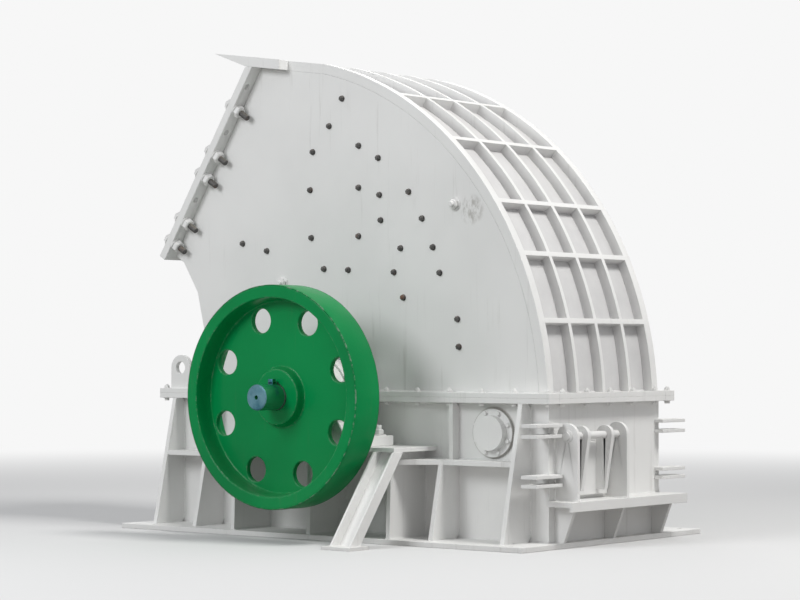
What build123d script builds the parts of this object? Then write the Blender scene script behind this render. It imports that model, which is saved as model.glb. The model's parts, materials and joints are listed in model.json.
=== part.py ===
from build123d import *
import os
from math import asin, atan2, cos, degrees, radians, sin, sqrt, tan

# Heavy hammer crusher, sizes in millimetres.
# The origin is on the floor under the rotor shaft. X runs to the curved rear, Z up.
# The flywheel is on the -Y side and the drive pulley on the +Y side.

# Housing
shaft_z = 840.0            # shaft centre, in the split of the housing
inner_half = 550.0         # from the middle to the inner face of a side wall
wall = 20.0                # side walls, end walls, roof and shell
outer_half = inner_half + wall
flange_t = 30.0            # each of the two flanges of the split
flange_reach = 80.0        # how far a flange stands out of the side wall
split_low = shaft_z - flange_t
split_top = shaft_z + flange_t

# Curved shell, by its outer face
shell_foot_x = 1422.0      # where it stands on the split flange
shell_foot_angle = 2.91    # of that point over the horizontal through the shell's centre
shell_r = 2070.0
shell_centre = (
    shell_foot_x - shell_r * cos(radians(shell_foot_angle)),
    split_top - shell_r * sin(radians(shell_foot_angle)),
)

# Ends of the lower housing and of the split flanges
front_x = -1340.0          # outer face of the lower wall on the feed side
rear_x = shell_foot_x + 68.0
flange_front_x = front_x - 115.0
flange_rear_x = rear_x + 60.0

# Upper housing, side view
feed_foot_x = -1060.0      # feed wall at the split
feed_bend = (-1205.0, 1475.0)
inlet_low = (-1455.0, 1707.0)
inlet_angle = 57.7         # slope of the inlet flange
inlet_t = 50.0
inlet_reach = 85.0         # how far the flange stands out beside the mouth
inlet_low_reach = 34.0     # and under it
inlet_lip = 30.0           # bar of the flange over the mouth
inlet_groove = 8.0         # bevel of its upper edge, under the nose
neck_depth = 85.0          # from the flange to the bend of the neck
inlet_bolt_count = 8       # on each side
inlet_bolt_end = 115.0
inlet_bolt_y = outer_half + 45.0
inlet_bolt_r = 19.0
roof_slope = 8.0
tip_x = -985.0             # point of the nose over the inlet
tip_z = 2955.0
nose_end_x = -450.0        # rear end of the strips beside the roof

# Ribs on the roof and the shell
rib_h = 60.0
rib_edge_w = 60.0
rib_w = 30.0
rib_columns = 4
cross_angles = (14.0, 25.0, 34.5, 48.0, 61.0)
roof_ribs_x = (-560.0, -260.0)

# Wear plates
feed_liner_t = 25.0
impact_liner_t = 60.0
impact_rows = 6
row_seam = 0.08            # half the seam between two rows, in degrees round the shell
side_liner_t = 25.0
tile = 480.0
tile_gap = 5.0
liner_clear = 4.0          # between a side liner and the plates round it
split_clear = 2.0          # between what is fixed to the lower and to the upper housing

# Base and side ribs
base_t = 30.0
base_half = outer_half + 355.0
base_front_x = front_x - 175.0
base_rear_x = rear_x + 70.0
gusset_t = 28.0
gusset_top = outer_half + flange_reach
gusset_foot = outer_half + 255.0
gusset_snipe = 25.0        # cut corner over the welds
gusset_front_x = (front_x + gusset_t / 2, -990.0)
gusset_rear_x = (845.0, rear_x - 140.0)
stiffener_reach = 60.0
mid_rib_drop = 85.0        # from the top of the bearing shelf to the rib along the wall

# Bearing pedestals
pedestal_half = 700.0
pedestal_top = 555.0
pedestal_t = 25.0
pedestal_reach = outer_half + 400.0
pedestal_web_x = pedestal_half - 100.0
web_foot = base_half - 20.0
strut_x = 635.0
strut_w = 150.0
strut_t = 70.0
strut_wall = 14.0
strut_gap = 12.0           # between a web and the strut beside it
web_top = pedestal_reach - strut_t - strut_gap
strut_foot_y = pedestal_reach + 315.0
foot_w = 210.0
foot_d = 170.0
foot_t = 20.0
anchor_x = min(-base_front_x, base_rear_x) - 75.0
anchor_inner_x = pedestal_half + 60.0
mid_rib_z = pedestal_top - mid_rib_drop
anchor_y = base_half - 55.0
anchor_r = 20.0

# Bearings
bearing_y = outer_half + 230.0
bearing_w = 230.0
bearing_bore = 150.0
bearing_body_r = 222.0
bearing_foot_half = 470.0
bearing_foot_t = 60.0
bearing_ear_half = 300.0
bearing_ear_h = 55.0
bearing_waist = 60.0       # height of the slope under an ear
bearing_flare = 70.0       # how far the body spreads over its foot
crown_h = 14.0             # rib over the top of a cap
crown_w = 46.0
cover_r = 178.0
cover_t = 22.0
wall_hole_r = 130.0        # hole of the side walls, flanges and liners round the shaft
seal_bore = 106.0
seal_r = 165.0
seal_t = 40.0
seal_fit = 1.0             # round the seal, in the notch of the split flanges

# Rotor
disc_r = 430.0
disc_t = 45.0
disc_gap = 130.0
rotor_end_gap = 60.0       # least room between the last disc and the side liner
disc_pitch = disc_t + disc_gap
disc_room = 2 * (inner_half - side_liner_t - rotor_end_gap)
disc_count = int((disc_room - disc_t) / disc_pitch) + 1
rotor_half = ((disc_count - 1) * disc_pitch + disc_t) / 2
sleeve_r = 175.0
pin_circle = 350.0
pin_r = 30.0
pin_fit = 0.5
pin_end = 6.0              # how far a hammer pin stands out of the last disc
rows = 6
hammer_r = 700.0
hammer_w = 110.0
hammer_head = 230.0
hammer_head_h = 190.0
hammer_slope = 30.0
hammer_arm = 116.0
hammer_eye = 66.0

# Discharge grate
grate_inner = hammer_r + 35.0
grate_side_t = 30.0
grate_side_h = 62.0
grate_half_angle = 72.0
grate_bar_h = 50.0
grate_bar_w = 34.0
grate_bar_set = 3.0        # how far the bars lie under the inner edge of the side arcs
grate_step = 8.0           # from bar to bar, in degrees
grate_end_angle = 2.0      # least angle from the last bar to the end of its side arcs
apron_t = 60.0
chute_t = 20.0
chute_clear = 10.0         # between the chute and the grate's side arcs
chute_angle = 2.0          # how far under the grate's end the chute starts

# Wheels
wheel_r = 650.0
wheel_face = bearing_y + 450.0
wheel_w = 215.0
wheel_rim = 75.0
wheel_edge = 6.0
wheel_draft = 14.0         # taper of the hub and of the rim's inner side
wheel_web_t = 36.0
wheel_web_back = 110.0
hub_r = 176.0
hub_back = 60.0
hub_len = 150.0
window_r = 72.0
window_circle = 470.0
window_count = 8
window_turn = 20.0
groove_count = 7
groove_pitch = 26.0
groove_depth = 20.0
groove_land = 3.0
groove_flank = 6.0

# Rotor shaft
body_r = 120.0
neck_r = 100.0
journal_r = 90.0
seat_r = 75.0
body_half = rotor_half + 20.0
neck_half = outer_half + 90.0
journal_half = bearing_y + 230.0
shaft_half = wheel_face + 110.0
shaft_chamfer = 6.0
centre_r = 12.5            # centre hole in each shaft end
centre_depth = 50.0
run_fit = 0.05
shrink_fit = 0.05

# Rear door, cheeks and shelf
shelf_z = 265.0
shelf_t = 30.0
shelf_x = rear_x + 180.0
shelf_half = outer_half + 30.0
shelf_lip_t = 20.0
shelf_lip_h = 55.0
prop_foot = 60.0
prop_tip = 40.0
door_y = -250.0            # middle of the door, which is on the flywheel side of the rear wall
cheek_half = 250.0         # from there to the middle of a cheek
cheek_t = 25.0
cheek_head_r = 70.0
hinge_x = rear_x + cheek_head_r + 15.0
hinge_z = 630.0
hinge_r = 22.0
hinge_end = 12.0           # how far the pin stands out of the cheeks
door_gap = 5.0
door_side_gap = 18.0
door_t = 25.0
door_half = cheek_half - cheek_t / 2 - door_side_gap
door_low = shelf_z + 22.0
door_top = hinge_z - 40.0
door_arm_y = 120.0         # of the two arms, from the middle of the door
door_arm_t = 30.0
door_arm_low = 30.0
door_arm_foot = 60.0
door_eye = 55.0
doorway_half = door_half - 20.0
doorway_low = door_low + 23.0
doorway_top = door_top - 20.0

# Covers, lugs and eye plates
cap_x = 1110.0
cap_z = 640.0
cap_r = 100.0
cap_h = 60.0
cap_wall = 12.0
cap_flange_r = 140.0
cap_flange_t = 18.0
lug_z = (355.0, 405.0, 630.0, 690.0)
lug_t = 20.0
lug_reach = outer_half + 200.0
lug_front_x = rear_x - 50.0
lug_rear_x = rear_x + 60.0
lug_inner_y = inner_half - 30.0
lug_hole_x = (lug_front_x + lug_rear_x) / 2
lug_hole_y = lug_reach - 55.0
lug_hole_r = 22.0
eye_w = 160.0
eye_h = 210.0
eye_t = 30.0
eye_x = -1300.0
eye_hole_r = 38.0

far = 6000.0
SIDES = (("flywheel_side", -1), ("drive_side", 1))
nodes = {}


def block(x0, x1, y0, y1, z0, z1):
    """Box between two corners."""
    size = Box(abs(x1 - x0), abs(y1 - y0), abs(z1 - z0))
    return Pos((x0 + x1) / 2, (y0 + y1) / 2, (z0 + z1) / 2) * size


def across(face, y0, y1):
    """A face drawn in the side view (X, Z), extruded from y0 to y1."""
    low, high = min(y0, y1), max(y0, y1)
    return extrude(Plane.XZ.offset(-high) * face, amount=high - low)


def along(face, x0, x1):
    """A face drawn in the end view (Y, Z), extruded from x0 to x1."""
    return extrude(Plane.YZ.offset(x0) * face, amount=x1 - x0)


def outline(*points):
    """Face inside straight lines through the points."""
    return make_face(Polyline(*points, close=True))


def area(x0, x1, z0, z1):
    """Upright rectangle of a side or end view between two corners."""
    return Pos((x0 + x1) / 2, (z0 + z1) / 2) * Rectangle(x1 - x0, z1 - z0)


def round_bar(radius, y0, y1, x=0.0, z=shaft_z):
    """Round bar along Y."""
    return Pos(x, (y0 + y1) / 2, z) * Rot(90, 0, 0) * Cylinder(radius, abs(y1 - y0))


def shaft_hole(sign):
    """Hole through a side wall and its liner for the shaft, on one side."""
    return round_bar(wall_hole_r, sign * (inner_half - 2 * side_liner_t), sign * outer_half)


def both(solid):
    """A piece and its mirror image on the other side, as separate solids."""
    return Compound(children=[*solid.solids(), *mirror(solid, about=Plane.XZ).solids()])


def group(solids):
    """Separate solids of one node."""
    return Compound(children=[one for piece in solids for one in piece.solids()])


def on_inlet(run, behind):
    """Side view point, measured up the inlet flange and in from its front face."""
    a = radians(inlet_angle)
    return (inlet_low[0] + run * cos(a) + behind * sin(a), inlet_low[1] + run * sin(a) - behind * cos(a))


def roof_z(x, above):
    """Height at x of the line that lies above the roof plate by the given distance."""
    r = radians(roof_slope)
    return tip_z - (x - tip_x) * tan(r) - (rib_h - above) / cos(r)


def inlet_top(behind, above):
    """How far up the inlet flange its plane at a depth meets that roof line."""
    a, r = radians(inlet_angle), radians(roof_slope)
    x0, z0 = on_inlet(0.0, behind)
    return (roof_z(x0, above) - z0) / (sin(a) + cos(a) * tan(r))


def kink():
    """Where the roof plate meets the circle of the curved shell."""
    t = tan(radians(roof_slope))
    cx, cz = shell_centre
    rise = roof_z(cx, 0.0) - cz
    run = (rise * t + sqrt((rise * t) ** 2 - (1 + t * t) * (rise * rise - shell_r ** 2))) / (1 + t * t)
    return (cx + run, roof_z(cx + run, 0.0))


def shell_point(angle, radius=shell_r):
    """Point of the curved shell, by its angle over the horizontal."""
    a = radians(angle)
    return (shell_centre[0] + radius * cos(a), shell_centre[1] + radius * sin(a))


def grate_point(angle, radius):
    """Point round the shaft, by its angle from straight down towards the rear."""
    a = radians(270 + angle)
    return (radius * cos(a), shaft_z + radius * sin(a))


kink_x, kink_z = kink()
kink_angle = degrees(atan2(kink_z - shell_centre[1], kink_x - shell_centre[0]))
inlet_len = inlet_top(0.0, 0.0)
inlet_root = on_inlet(inlet_len, 0.0)
inlet_middle_z = on_inlet(inlet_len / 2, 0.0)[1]
inlet_half = outer_half + inlet_reach


def upper_face(inset):
    """Side view of the upper housing, moved in from its outer faces.

    Its open ends, at the split and at the inlet, are drawn long and cut back afterwards."""
    spare = 400.0
    low = split_top - spare
    foot_angle = degrees(asin((low - shell_centre[1]) / shell_r))
    foot_run = (feed_foot_x - feed_bend[0]) / (feed_bend[1] - split_top)
    roof_end_x = on_inlet(inlet_len, inlet_t)[0] - spare
    straight = Polyline(
        shell_point(foot_angle),
        (feed_foot_x + foot_run * spare, low),
        feed_bend,
        on_inlet(inlet_low_reach, inlet_t + neck_depth),
        on_inlet(inlet_low_reach, inlet_t - spare),
        (roof_end_x, roof_z(roof_end_x, 0.0)),
        (kink_x, kink_z),
    )
    middle = shell_point((foot_angle + kink_angle) / 2)
    curve = ThreePointArc((kink_x, kink_z), middle, shell_point(foot_angle))
    face = make_face(straight + curve)
    if inset:
        face = offset(face, amount=-inset, kind=Kind.INTERSECTION)
    return face


def cut_back(face, behind, bottom):
    """Keep what lies over a height and behind a plane of the inlet."""
    mouth = outline(on_inlet(-far, behind), on_inlet(far, behind), on_inlet(far, far), on_inlet(-far, far))
    return face & mouth & area(-far, far, bottom, far)


def band(outside, inside, behind=inlet_t, bottom=split_top):
    """Strip of the side view between two distances in from the outer faces."""
    return cut_back(upper_face(outside) - upper_face(inside), behind, bottom)


over_roof = area(-far, kink_x, inlet_middle_z, far)
over_shell = area(kink_x, far, 0.0, far)
under_inlet = area(-far, 0.0, 0.0, inlet_middle_z)


def upper_housing():
    """Side plates, roof, shell and feed wall."""
    side = cut_back(upper_face(0.0), inlet_t, split_top)
    for name, sign in SIDES:
        plate = across(side, sign * inner_half, sign * outer_half)
        nodes["upper_side_plate_" + name] = plate - shaft_hole(sign)
    plates = band(0.0, wall)
    nodes["roof_plate"] = across(plates & over_roof, -inner_half, inner_half)
    nodes["curved_shell"] = across(plates & over_shell, -inner_half, inner_half)
    nodes["feed_wall"] = across(plates & under_inlet, -inner_half, inner_half)


def inlet():
    """Slanted flange round the feed mouth, and the pointed nose over it."""
    under_roof = outline((-far, roof_z(-far, 0.0)), (far, roof_z(far, 0.0)), (far, -far), (-far, -far))
    long_bar = outline(on_inlet(0, 0), on_inlet(far, 0), on_inlet(far, inlet_t), on_inlet(0, inlet_t))
    low = inlet_low_reach + wall
    top = inlet_top(inlet_t, -wall) - inlet_lip
    mouth = outline(
        on_inlet(low, -inlet_t),
        on_inlet(top, -inlet_t),
        on_inlet(top, 2 * inlet_t),
        on_inlet(low, 2 * inlet_t),
    )
    groove = outline(
        on_inlet(inlet_len - 2 * inlet_groove, -inlet_groove),
        on_inlet(inlet_len + inlet_groove, -inlet_groove),
        on_inlet(inlet_len + inlet_groove, 2 * inlet_groove),
    )
    section = long_bar & under_roof - groove
    flange = across(section, -inlet_half, inlet_half) - across(mouth, -inner_half, inner_half)
    pitch = (inlet_len - 2 * inlet_bolt_end) / (inlet_bolt_count - 1)
    for i in range(inlet_bolt_count):
        x, z = on_inlet(inlet_bolt_end + i * pitch, inlet_t / 2)
        for y in (-inlet_bolt_y, inlet_bolt_y):
            flange -= Pos(x, y, z) * Rot(0, -inlet_angle, 0) * Cylinder(inlet_bolt_r, 2 * inlet_t)
    nodes["inlet_flange"] = flange
    root_x = inlet_root[0]
    over_root = (root_x, roof_z(root_x, rib_h))
    wedge = outline(inlet_root, over_root, (tip_x, tip_z))
    strip = outline(
        inlet_root,
        over_root,
        (nose_end_x, roof_z(nose_end_x, rib_h)),
        (nose_end_x, roof_z(nose_end_x, 0.0)),
    )
    nose = across(wedge, -inlet_half, inlet_half)
    for sign in (-1, 1):
        nose += across(strip, sign * outer_half, sign * inlet_half)
    nodes["inlet_nose"] = nose


def shell_ribs():
    """Lattice of ribs, fused where they cross, on the roof and the curved shell."""
    strip = upper_face(-rib_h) - upper_face(0.0)
    strip = strip & (area(inlet_root[0], 0.0, inlet_middle_z, far) + area(0.0, far, split_top, far))
    pitch = (2 * outer_half - rib_edge_w) / rib_columns
    lattice = None
    for i in range(rib_columns + 1):
        y = -outer_half + rib_edge_w / 2 + i * pitch
        half = rib_edge_w / 2 if i in (0, rib_columns) else rib_w / 2
        bar = across(strip, y - half, y + half)
        lattice = bar if lattice is None else lattice + bar
    reach = outer_half - rib_edge_w / 2
    for angle in cross_angles:
        x, z = shell_point(angle)
        bar = Pos(x, 0, z) * Rot(0, -angle, 0) * Box(3 * rib_h, 2 * reach, rib_w)
        lattice += across(strip, -reach, reach) & bar
    for x in roof_ribs_x:
        lattice += across(strip & area(x - rib_w / 2, x + rib_w / 2, 0, far), -reach, reach)
    nodes["shell_ribs"] = lattice


def split_flanges():
    """The two flanges on which the housing parts, and the deck over the feed end."""
    far_y = outer_half + flange_reach
    hole = shaft_hole(1) + round_bar(seal_r + seal_fit, outer_half, far_y + wall)
    lower = block(flange_front_x, flange_rear_x, inner_half, far_y, split_low, shaft_z)
    upper = block(flange_front_x, flange_rear_x, inner_half, far_y, shaft_z, split_top)
    nodes["lower_flange_sides"] = both(lower - hole)
    nodes["upper_flange_sides"] = both(upper - hole)
    nodes["lower_flange_ends"] = group(
        [
            block(flange_front_x, front_x + wall, -inner_half, inner_half, split_low, shaft_z),
            block(rear_x - wall, flange_rear_x, -inner_half, inner_half, split_low, shaft_z),
        ]
    )
    nodes["upper_flange_ends"] = group(
        [
            block(flange_front_x, feed_foot_x + wall, -inner_half, inner_half, shaft_z, split_top),
            block(shell_foot_x - wall, flange_rear_x, -inner_half, inner_half, shaft_z, split_top),
        ]
    )


def side_liners():
    """Wear tiles on the side walls over the split, and a half disc beside the rotor under it."""
    room = cut_back(upper_face(wall + liner_clear), inlet_t + liner_clear, shaft_z + split_clear)
    lower = Pos(0, shaft_z) * Circle(grate_inner - liner_clear) & area(-far, far, 0, shaft_z - split_clear)
    columns = int(-inlet_low[0] / tile) + 1
    joints = [area(i * tile, i * tile + tile_gap, 0, far) for i in range(-columns, columns + 1)]
    for i in range(1, int((tip_z - shaft_z) / tile) + 1):
        joints.append(area(-far, far, shaft_z + i * tile, shaft_z + i * tile + tile_gap))
    for name, sign in SIDES:
        y0, y1 = sign * (inner_half - side_liner_t), sign * inner_half
        plates = across(room, y0, y1)
        for joint in joints:
            plates -= across(joint, y0, y1)
        disc = across(lower, y0, y1)
        nodes["side_liners_" + name] = group([plates - shaft_hole(sign), disc - shaft_hole(sign)])


def end_liners():
    """Rows of thick wear blocks on the curved shell, and a plate on the feed wall."""
    half = inner_half - side_liner_t - liner_clear
    strip = band(wall, wall + impact_liner_t, bottom=split_top + liner_clear) & over_shell
    step = (kink_angle - shell_foot_angle) / impact_rows
    blocks = []
    for i in range(impact_rows):
        low = shell_foot_angle + i * step + row_seam if i else 0.0
        high = shell_foot_angle + (i + 1) * step - row_seam
        wedge = outline(
            shell_centre,
            shell_point(low, far),
            shell_point((low + high) / 2, far),
            shell_point(high, far),
        )
        blocks.append(across(strip & wedge, -half, half))
    nodes["impact_liner"] = group(blocks)
    feed = band(wall, wall + feed_liner_t, bottom=split_top) & under_inlet
    nodes["feed_liner"] = across(feed, -half, half)


def lower_housing():
    """Walls between the base and the split, and the slopes before and behind the grate."""
    for name, sign in SIDES:
        plate = block(front_x, rear_x, sign * inner_half, sign * outer_half, base_t, split_low)
        nodes["lower_side_wall_" + name] = plate - shaft_hole(sign)
    nodes["feed_end_wall"] = block(front_x, front_x + wall, -inner_half, inner_half, base_t, split_low)
    rear = block(rear_x - wall, rear_x, -inner_half, inner_half, base_t, split_low)
    low_y, high_y = door_y - doorway_half, door_y + doorway_half
    doorway = block(rear_x - 2 * wall, rear_x + wall, low_y, high_y, doorway_low, doorway_top)
    nodes["rear_wall"] = rear - doorway
    apron = outline(
        (feed_foot_x + wall, shaft_z - split_clear),
        grate_point(-grate_half_angle, grate_inner),
        grate_point(-grate_half_angle, grate_inner + grate_side_h),
        (feed_foot_x + wall - apron_t, shaft_z - split_clear),
    )
    nodes["feed_apron"] = across(apron, -inner_half, inner_half)
    x, z = grate_point(grate_half_angle - chute_angle, grate_inner + grate_side_h + chute_clear)
    end_x = rear_x - wall
    end_z = doorway_low - chute_t
    chute = outline((x, z), (end_x, end_z), (end_x, end_z - chute_t), (x, z - chute_t))
    nodes["tramp_iron_chute"] = across(chute, -inner_half, inner_half)


def base():
    """Flanged frame on the floor, with its anchor holes."""
    rail = block(base_front_x, base_rear_x, inner_half, base_half, 0, base_t)
    for x in (-anchor_x, -anchor_inner_x, anchor_inner_x, anchor_x):
        rail -= Pos(x, anchor_y, base_t / 2) * Cylinder(anchor_r, base_t * 2)
    nodes["base_side_rails"] = both(rail)
    nodes["base_end_rails"] = group(
        [
            block(base_front_x, front_x + wall, -inner_half, inner_half, 0, base_t),
            block(rear_x - wall, base_rear_x, -inner_half, inner_half, 0, base_t),
        ]
    )


def gusset_y(z):
    """Distance from the middle to the sloping edge of the side ribs at a height."""
    return gusset_foot - (gusset_foot - gusset_top) * (z - base_t) / (split_low - base_t)


def web_y(z):
    """Distance from the middle to the outer edge of a pedestal's web at a height."""
    return web_foot - (web_foot - web_top) * (z - base_t) / (pedestal_top - pedestal_t - base_t)


def mid_rib(pedestal_face, knee_x, end_x):
    """Flat rib along a side wall, which widens from a knee to the outer edge of the pedestal's web."""
    z0, z1 = mid_rib_z - gusset_t / 2, mid_rib_z + gusset_t / 2
    plan = outline(
        (pedestal_face, outer_half),
        (pedestal_face, web_y(z1)),
        (knee_x, gusset_y(z1)),
        (end_x, gusset_y(z1)),
        (end_x, outer_half),
    )
    return extrude(Plane.XY.offset(z0) * plan, amount=z1 - z0)


def side_gussets():
    """Sloping ribs on the lower side walls, tied to the pedestal by a rib along the wall."""
    rib = outline(
        (outer_half + gusset_snipe, base_t),
        (gusset_foot, base_t),
        (gusset_top, split_low),
        (outer_half + gusset_snipe, split_low),
        (outer_half, split_low - gusset_snipe),
        (outer_half, base_t + gusset_snipe),
    )
    stiffener = area(outer_half, outer_half + stiffener_reach, mid_rib_z, split_low)
    short_rib = rib & area(0, far, 0, mid_rib_z) + stiffener
    front = mid_rib(-pedestal_web_x - gusset_t / 2, gusset_front_x[1], gusset_front_x[0])
    rear_frame = mid_rib(pedestal_web_x + gusset_t / 2, gusset_rear_x[0], gusset_rear_x[1])
    for x in gusset_front_x:
        front += along(rib, x - gusset_t / 2, x + gusset_t / 2)
    for x, face in zip(gusset_rear_x, (short_rib, rib)):
        rear_frame += along(face, x - gusset_t / 2, x + gusset_t / 2)
    nodes["side_gussets"] = both(group([front, rear_frame]))


def pedestals():
    """Bearing shelf on each side on its webs, with a sloping strut under its outer rear corner."""
    z0 = pedestal_top - pedestal_t
    shelf = block(-pedestal_half, pedestal_half, outer_half, pedestal_reach, z0, pedestal_top)
    top_y = pedestal_reach - strut_t
    web = outline((outer_half, base_t), (web_foot, base_t), (web_top, z0), (outer_half, z0))
    for x in (-pedestal_web_x, 0.0, pedestal_web_x):
        shelf += along(web, x - gusset_t / 2, x + gusset_t / 2)
    nodes["bearing_pedestals"] = both(shelf)
    lean = atan2(strut_foot_y - top_y, z0 - foot_t)
    thick = strut_t / cos(lean)
    skin = strut_wall / cos(lean)
    slab = outline(
        (top_y, z0),
        (top_y + thick, z0),
        (strut_foot_y + thick, foot_t),
        (strut_foot_y, foot_t),
    )
    hollow = outline(
        (top_y + skin, z0),
        (top_y + 2 * thick, z0),
        (strut_foot_y + 2 * thick, foot_t),
        (strut_foot_y + skin, foot_t),
    )
    strut = along(slab, strut_x - strut_w / 2, strut_x + strut_w / 2)
    strut -= along(hollow, strut_x - strut_w / 2 + strut_wall, strut_x + strut_w / 2 - strut_wall)
    y = strut_foot_y + thick / 2
    strut += block(strut_x - foot_w / 2, strut_x + foot_w / 2, y - foot_d / 2, y + foot_d / 2, 0, foot_t)
    nodes["pedestal_struts"] = both(strut)


def bearings():
    """Split pillow blocks with their inserts, end covers and the seals on the side walls."""
    y0, y1 = bearing_y - bearing_w / 2, bearing_y + bearing_w / 2
    foot_top = pedestal_top + bearing_foot_t
    ear_low = shaft_z - bearing_ear_h
    waist_z = ear_low - bearing_waist
    foot = area(-bearing_foot_half, bearing_foot_half, pedestal_top, foot_top)
    shoulder = outline(
        (-bearing_ear_half, shaft_z),
        (bearing_ear_half, shaft_z),
        (bearing_ear_half, ear_low),
        (bearing_body_r, waist_z),
        (bearing_body_r + bearing_flare, foot_top),
        (-bearing_body_r - bearing_flare, foot_top),
        (-bearing_body_r, waist_z),
        (-bearing_ear_half, ear_low),
    )
    bore = Pos(0, shaft_z) * Circle(bearing_bore)
    base_block = across(foot + shoulder - bore, y0, y1)
    dome = Pos(0, shaft_z) * Circle(bearing_body_r) & area(-far, far, shaft_z, far)
    ears = area(-bearing_ear_half, bearing_ear_half, shaft_z, shaft_z + bearing_ear_h)
    cap_block = across(dome + ears - bore, y0, y1)
    crown = Pos(0, shaft_z) * Circle(bearing_body_r + crown_h) & area(-far, far, shaft_z + bearing_ear_h, far)
    cap_block += across(crown - bore, bearing_y - crown_w / 2, bearing_y + crown_w / 2)
    ring = round_bar(bearing_bore - shrink_fit, y0, y1)
    for outer in ((y0 - cover_t, y0), (y1, y1 + cover_t)):
        ring += round_bar(cover_r, *outer)
    insert = ring - round_bar(journal_r + run_fit, y0 - 2 * cover_t, y1 + 2 * cover_t)
    nodes["bearing_bases"] = both(base_block)
    nodes["bearing_caps"] = both(cap_block)
    nodes["bearing_inserts"] = both(insert)
    seal = round_bar(seal_r, outer_half, outer_half + seal_t) - round_bar(seal_bore, 0, 2 * outer_half)
    nodes["shaft_seals"] = both(seal)


def rotor_shaft():
    """Stepped shaft with chamfered ends and their centre holes."""
    shaft = round_bar(body_r, -body_half, body_half) + round_bar(neck_r, -neck_half, neck_half)
    shaft += round_bar(journal_r, -journal_half, journal_half)
    shaft += round_bar(seat_r, -shaft_half, shaft_half)
    rims = shaft.edges().filter_by(GeomType.CIRCLE)
    shaft = chamfer([e for e in rims if abs(abs(e.center().Y) - shaft_half) < 1], shaft_chamfer)
    for sign in (-1, 1):
        shaft -= round_bar(centre_r, sign * (shaft_half - centre_depth), sign * (shaft_half + centre_depth))
    nodes["rotor_shaft"] = shaft


def hammer_plate():
    """One hammer, its pin hole on the origin and its head towards +X of the side view."""
    reach = hammer_r - pin_circle
    neck = hammer_arm / 2
    head = hammer_head / 2
    low = reach - hammer_head_h
    sag = hammer_r - sqrt(hammer_r ** 2 - head ** 2)
    shape = outline(
        (0, -neck),
        (low - hammer_slope, -neck),
        (low, -head),
        (reach - sag, -head),
        (reach - sag, head),
        (low, head),
        (low - hammer_slope, neck),
        (0, neck),
    )
    shape += Circle(hammer_eye)
    face = ThreePointArc((reach - sag, -head), (reach, 0), (reach - sag, head))
    shape += make_face(face + Line((reach - sag, head), (reach - sag, -head)))
    return across(shape - Circle(pin_r + pin_fit), -hammer_w / 2, hammer_w / 2)


def rotor():
    """Discs on their sleeve, hammer pins and rows of hammers."""
    body = round_bar(sleeve_r, -rotor_half, rotor_half)
    for i in range(disc_count):
        y = -rotor_half + i * disc_pitch
        body += round_bar(disc_r, y, y + disc_t)
    body -= round_bar(body_r + shrink_fit, -2 * rotor_half, 2 * rotor_half)
    plate = hammer_plate()
    pins = []
    hammers = []
    for i in range(rows):
        angle = 360 / rows * (i + 0.5)
        a = radians(angle)
        x, z = pin_circle * cos(a), shaft_z + pin_circle * sin(a)
        body -= round_bar(pin_r + pin_fit, -2 * rotor_half, 2 * rotor_half, x, z)
        pins.append(round_bar(pin_r, -rotor_half - pin_end, rotor_half + pin_end, x, z))
        for k in range(disc_count - 1):
            y = -rotor_half + disc_t + disc_gap / 2 + k * disc_pitch
            hammers.append(Pos(x, y, z) * Rot(0, -angle, 0) * plate)
    nodes["rotor_discs"] = body
    nodes["hammer_pins"] = group(pins)
    nodes["hammers"] = group(hammers)


def grate():
    """Arc of bars under the rotor, between two side arcs."""
    sector = outline(
        (0, shaft_z),
        grate_point(-grate_half_angle, far),
        (0, -far),
        grate_point(grate_half_angle, far),
    )
    ring = Circle(grate_inner + grate_side_h) - Circle(grate_inner)
    arc = Pos(0, shaft_z) * ring & sector
    nodes["grate_side_arcs"] = both(across(arc, inner_half - grate_side_t, inner_half))
    bar = Box(grate_bar_h, 2 * (inner_half - grate_side_t), grate_bar_w)
    gaps = int(2 * (grate_half_angle - grate_end_angle) / grate_step)
    bars = []
    for i in range(gaps + 1):
        angle = (i - gaps / 2) * grate_step
        x, z = grate_point(angle, grate_inner + grate_bar_set + grate_bar_h / 2)
        bars.append(Pos(x, 0, z) * Rot(0, -270 - angle, 0) * bar)
    nodes["discharge_grate"] = group(bars)


def wheel_profile(rim_outside):
    """Half section of a wheel, drawn as distance from the shaft and distance out from its back face."""
    web_out = wheel_w - wheel_web_back
    web_in = web_out - wheel_web_t
    rim_r = wheel_r - wheel_rim
    hub_out = wheel_w - hub_back
    hub_in = hub_out - hub_len
    bore = seat_r + shrink_fit
    return [
        (bore, hub_in),
        (hub_r - wheel_draft, hub_in),
        (hub_r, web_in),
        (rim_r - wheel_draft, web_in),
        (rim_r, 0),
        *rim_outside,
        (rim_r, wheel_w),
        (rim_r - wheel_draft, web_out),
        (hub_r, web_out),
        (hub_r - wheel_draft, hub_out),
        (bore, hub_out),
    ]


def rim_grooves():
    """Outside of the drive pulley's rim, with its belt grooves."""
    points = [(wheel_r, 0)]
    first = (wheel_w - groove_count * groove_pitch) / 2
    for i in range(groove_count):
        y0, y1 = first + i * groove_pitch + groove_land, first + (i + 1) * groove_pitch - groove_land
        points += [
            (wheel_r, y0),
            (wheel_r - groove_depth, y0 + groove_flank),
            (wheel_r - groove_depth, y1 - groove_flank),
            (wheel_r, y1),
        ]
    return [*points, (wheel_r, wheel_w)]


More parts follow.
